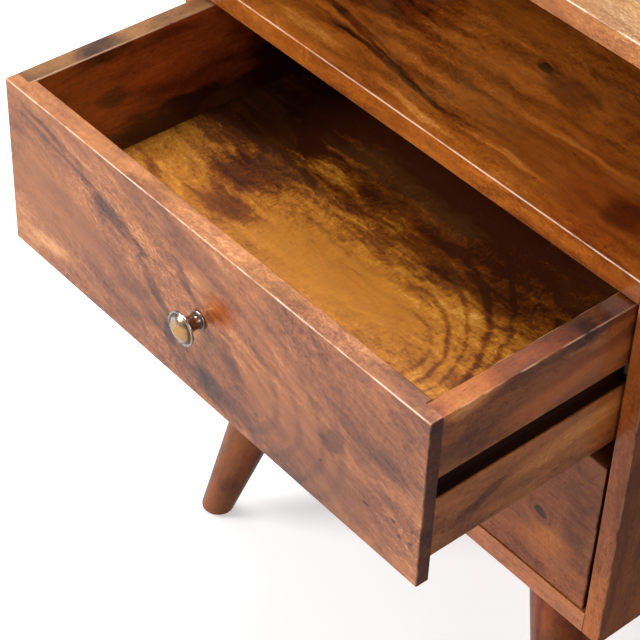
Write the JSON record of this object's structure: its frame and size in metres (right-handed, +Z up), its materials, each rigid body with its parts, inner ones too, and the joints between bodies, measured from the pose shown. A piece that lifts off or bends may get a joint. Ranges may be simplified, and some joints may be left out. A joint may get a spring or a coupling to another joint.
{
  "type": "nightstand",
  "caption": "Bedside cabinet with an open slot over stacked inset drawers, small round knobs and splayed tapered legs.",
  "frame": {"origin": "on the floor, under the middle of the whole box as stored, with the upper drawer pulled out 162 mm; the front plane of the case is at y = -0.0851 m", "axes": "+Z up, +Y towards the back, +X to the right as seen from the front"},
  "size_m": [0.45, 0.5328, 0.685],
  "materials": {
    "case_wood": "semi-gloss lacquer over a warm brown stain, figured hardwood",
    "drawer_front_wood": "semi-gloss lacquer over a warm brown stain, diagonal dark streaks",
    "drawer_wood": "thin satin lacquer over a warm brown stain",
    "leg_wood": "semi-gloss lacquer over a warm brown stain, turned",
    "back_board": "stained plywood, satin",
    "runner_wood": "bare pale hardwood, waxed",
    "dowel_beech": "bare beech",
    "knob_metal": "polished antique brass, slightly silvery",
    "zinc_steel": "zinc-plated steel",
    "pin_steel": "dark steel panel pins, set flush",
    "insert_brass": "plain brass",
    "glide_nylon": "dark brown nylon"
  },
  "bodies": {
    "case": {"top_panel": "case_wood", "right_side_panel": "case_wood", "left_side_panel": "case_wood", "slot_shelf": "case_wood", "bottom_panel": "case_wood", "back_panel": "back_board", "upper_left_runner": "runner_wood", "upper_right_runner": "runner_wood", "lower_left_runner": "runner_wood", "lower_right_runner": "runner_wood", "front_left_leg": "leg_wood", "front_right_leg": "leg_wood", "rear_left_leg": "leg_wood", "rear_right_leg": "leg_wood", "case_dowels": "dowel_beech", "leg_dowels": "dowel_beech", "back_panel_screws": "zinc_steel", "runner_screws": "zinc_steel", "leg_bolts": "zinc_steel", "leg_washers": "zinc_steel", "leg_inserts": "insert_brass", "foot_glides": "glide_nylon"},
    "upper_drawer": {"upper_drawer_front": "drawer_front_wood", "upper_drawer_right_side": "drawer_wood", "upper_drawer_left_side": "drawer_wood", "upper_drawer_back": "drawer_wood", "upper_drawer_bottom": "drawer_wood", "upper_drawer_knob": "knob_metal", "upper_drawer_knob_screw": "zinc_steel", "upper_drawer_knob_washer": "zinc_steel", "upper_drawer_front_dowels": "dowel_beech", "upper_drawer_back_pins": "pin_steel", "upper_drawer_bottom_pins": "pin_steel"},
    "lower_drawer": {"lower_drawer_front": "drawer_front_wood", "lower_drawer_right_side": "drawer_wood", "lower_drawer_left_side": "drawer_wood", "lower_drawer_back": "drawer_wood", "lower_drawer_bottom": "drawer_wood", "lower_drawer_knob": "knob_metal", "lower_drawer_knob_screw": "zinc_steel", "lower_drawer_knob_washer": "zinc_steel", "lower_drawer_front_dowels": "dowel_beech", "lower_drawer_back_pins": "pin_steel", "lower_drawer_bottom_pins": "pin_steel"}
  },
  "joints": [
    {"name": "upper_drawer_slide", "type": "slide", "parent": "case", "child": "upper_drawer", "axis": [0, -1, 0], "range_m": [-0.162, 0.068]},
    {"name": "lower_drawer_slide", "type": "slide", "parent": "case", "child": "lower_drawer", "axis": [0, -1, 0], "range_m": [0, 0.23]}
  ]
}
